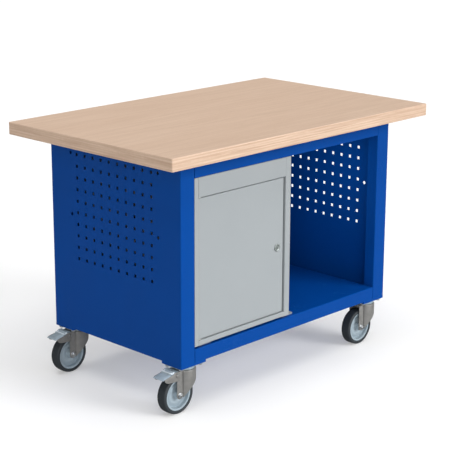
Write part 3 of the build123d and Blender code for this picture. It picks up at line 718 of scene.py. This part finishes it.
# ---------------------------------------------------------------- brake pedals
# A pressed plate over the fork's ears: a flat top with a hole, a step with a raised ridge, a sloping
# tread with grip ribs, a skirt on either side, and a tongue over the tyre. It rocks on a riveted pin.
def bent_strip(path, width, thickness, centre):
    """A strip bent along a path of x and z pairs, across a width in y."""
    shape = bmesh.new()
    near = [shape.verts.new((x * mm, -width / 2, z * mm)) for x, z in path]
    edges = [shape.edges.new(run) for run in zip(near, near[1:])]
    swept = bmesh.ops.extrude_edge_only(shape, edges=edges)["geom"]
    bmesh.ops.translate(shape, verts=[part for part in swept if isinstance(part, bmesh.types.BMVert)],
                        vec=(0, width, 0))
    bmesh.ops.recalc_face_normals(shape, faces=shape.faces)
    bmesh.ops.solidify(shape, geom=shape.faces[:], thickness=thickness)
    bmesh.ops.recalc_face_normals(shape, faces=shape.faces)
    bmesh.ops.translate(shape, verts=shape.verts, vec=centre)
    return shape


def cut_sheet(outline, rounding, y_face, thickness, centre):
    """A flat sheet cut to an outline of x and z pairs, with rounded corners, facing along y."""
    shape = bmesh.new()
    face = shape.faces.new([shape.verts.new((x * mm, y_face, z * mm)) for x, z in outline])
    bmesh.ops.bevel(shape, geom=face.verts[:], offset=rounding, segments=4, profile=0.5, affect="VERTICES",
                    material=-1, clamp_overlap=True)
    thicken(shape, (0, thickness, 0))
    soften(shape, 0.4 * mm)
    bmesh.ops.translate(shape, verts=shape.verts, vec=centre)
    return shape


def rounded_bar(start, end, radius):
    """A round bar from one place to another, with domed ends."""
    length = (end - start).length
    section = [(0, -radius), (0.5 * radius, -0.87 * radius), (0.87 * radius, -0.5 * radius), (radius, 0),
               (radius, length), (0.87 * radius, length + 0.5 * radius),
               (0.5 * radius, length + 0.87 * radius), (0, length + radius)]
    return turned(section, start, end - start, 16)


# The raised ridge is painted in a zinc much lighter and bluer than the rest of the pressing: a painted
# highlight along the ridge.
ridge_painted_highlight = plated("ridge_painted_highlight", rgb(0.82, 0.90, 0.96), rgb(0.74, 0.82, 0.88), 0.30, 0.2, 60)
pedal_half = 25 * mm
pedal_gauge = 2 * mm
tread_path = [(-60.4, 144.4), (-61.5, 144.0), (-67.4, 137.9), (-69.6, 138.7), (-70.9, 140.4), (-72.6, 141.2),
              (-74.4, 140.7), (-75.6, 139.2), (-76.4, 136.9), (-78, 136.2), (-107.5, 130.7), (-109.3, 130.0),
              (-110, 128.6)]
tread_width = 44 * mm
skirt_outline = [(-46, 144.4), (-61, 144.4), (-67.6, 138.0), (-104, 131.2), (-104, 126), (-98, 119),
                 (-88, 115.5), (-46, 112)]
skirt_corner = 2.5 * mm
tongue_path = [(-52, 135.5), (-64.5, 135.8), (-66.2, 138.2)]
tongue_width = 20 * mm
tongue_gauge = 2.2 * mm
top_steps = 32
top_half_long = 7.4 * mm
top_outline = [Vector((clamped(1.5 * point.x, top_half_long), clamped(1.5 * point.y, pedal_half), 0))
               for point in ring_of(top_steps, pedal_half)]
top_hole = ring_of(top_steps, 4 * mm)
top_place = Vector((-53.6 * mm, 0, 142.5 * mm))
rib_radius = 1.1 * mm
rib_length = 34 * mm
rib_count = 4
rib_gap = 5.4 * mm
rib_start = Vector((-84 * mm, 0, 135 * mm))
tread_fall = 5.5 / 29.5
pin_tube = both_sides(in_mm([(4.05, -25), (7, -25), (7, -22.8), (5, -22.6)]))[::-1]
ridge_path = [(-62, 142.9), (-66.2, 140.6), (-70, 140.9), (-72.6, 141.6)]
ridge_half = 20 * mm
ridge_radius = 1.5 * mm
cross_ridge_radius = 1.9 * mm
rivet_section = both_sides(in_mm([(0, 27.3), (2.6, 27.1), (4.6, 26.6), (5.7, 25.9), (6, 25.3), (4, 25.3)]))
for place in ("front_left", "rear_left"):
    swivel = pivots[f"{place}_swivel_turn"]
    rock = pivots[f"{place}_brake_press"]
    foot = Vector((swivel.x, swivel.y, 0))
    tread = soften(bent_strip(tread_path, tread_width, pedal_gauge, foot), 0.35 * mm)
    top_plate = pierced(top_outline, top_hole, pedal_gauge, foot + top_place, up)
    pedal = [tread, soften(top_plate, 0.3 * mm)]
    skirts = [cut_sheet(skirt_outline, skirt_corner, y_face, pedal_gauge, foot)
              for y_face in (-pedal_half, pedal_half - pedal_gauge)]
    piece(joined(skirts), f"{place}_pedal_skirts", fork_zinc, f"{place}_brake", "zinc_plate")
    for rib in range(rib_count):
        bar = bmesh.new()
        bmesh.ops.create_cone(bar, cap_ends=True, segments=16, radius1=rib_radius, radius2=rib_radius,
                              depth=rib_length)
        soften(bar, 0.4 * mm)
        along = rib * rib_gap
        pedal.append(laid(bar, foot + rib_start - Vector((along, 0, along * tread_fall)), rearward))
    pedal.append(turned(pin_tube, rock, rearward, 32))
    bars = []
    for start, end in zip(ridge_path, ridge_path[1:]):
        for y in (-ridge_half, ridge_half):
            near = foot + Vector((start[0] * mm, y, start[1] * mm))
            far = foot + Vector((end[0] * mm, y, end[1] * mm))
            bars.append(rounded_bar(near, far, ridge_radius))
    last_x, last_z = ridge_path[-1]
    left_end = foot + Vector((last_x * mm, -ridge_half, last_z * mm))
    bars.append(rounded_bar(left_end, left_end + rearward * 2 * ridge_half, cross_ridge_radius))
    # The ridge bars carry the painted highlight, a zinc much lighter than the pressing they stand on.
    piece(joined(bars), f"{place}_pedal_ridge", ridge_painted_highlight, f"{place}_brake", "zinc_plate")
    pedal.append(soften(bent_strip(tongue_path, tongue_width, tongue_gauge, foot), 0.4 * mm))
    piece(joined(pedal), f"{place}_pedal_pressing", plate_zinc, f"{place}_brake", "zinc_plate",
          f"{place}_brake_pedal")
    rivet = turned(rivet_section, rock, rearward, 32)
    piece(rivet, f"{place}_brake_rivet", fork_zinc, f"{place}_swivel", "bolt_steel", f"{place}_brake_pin")
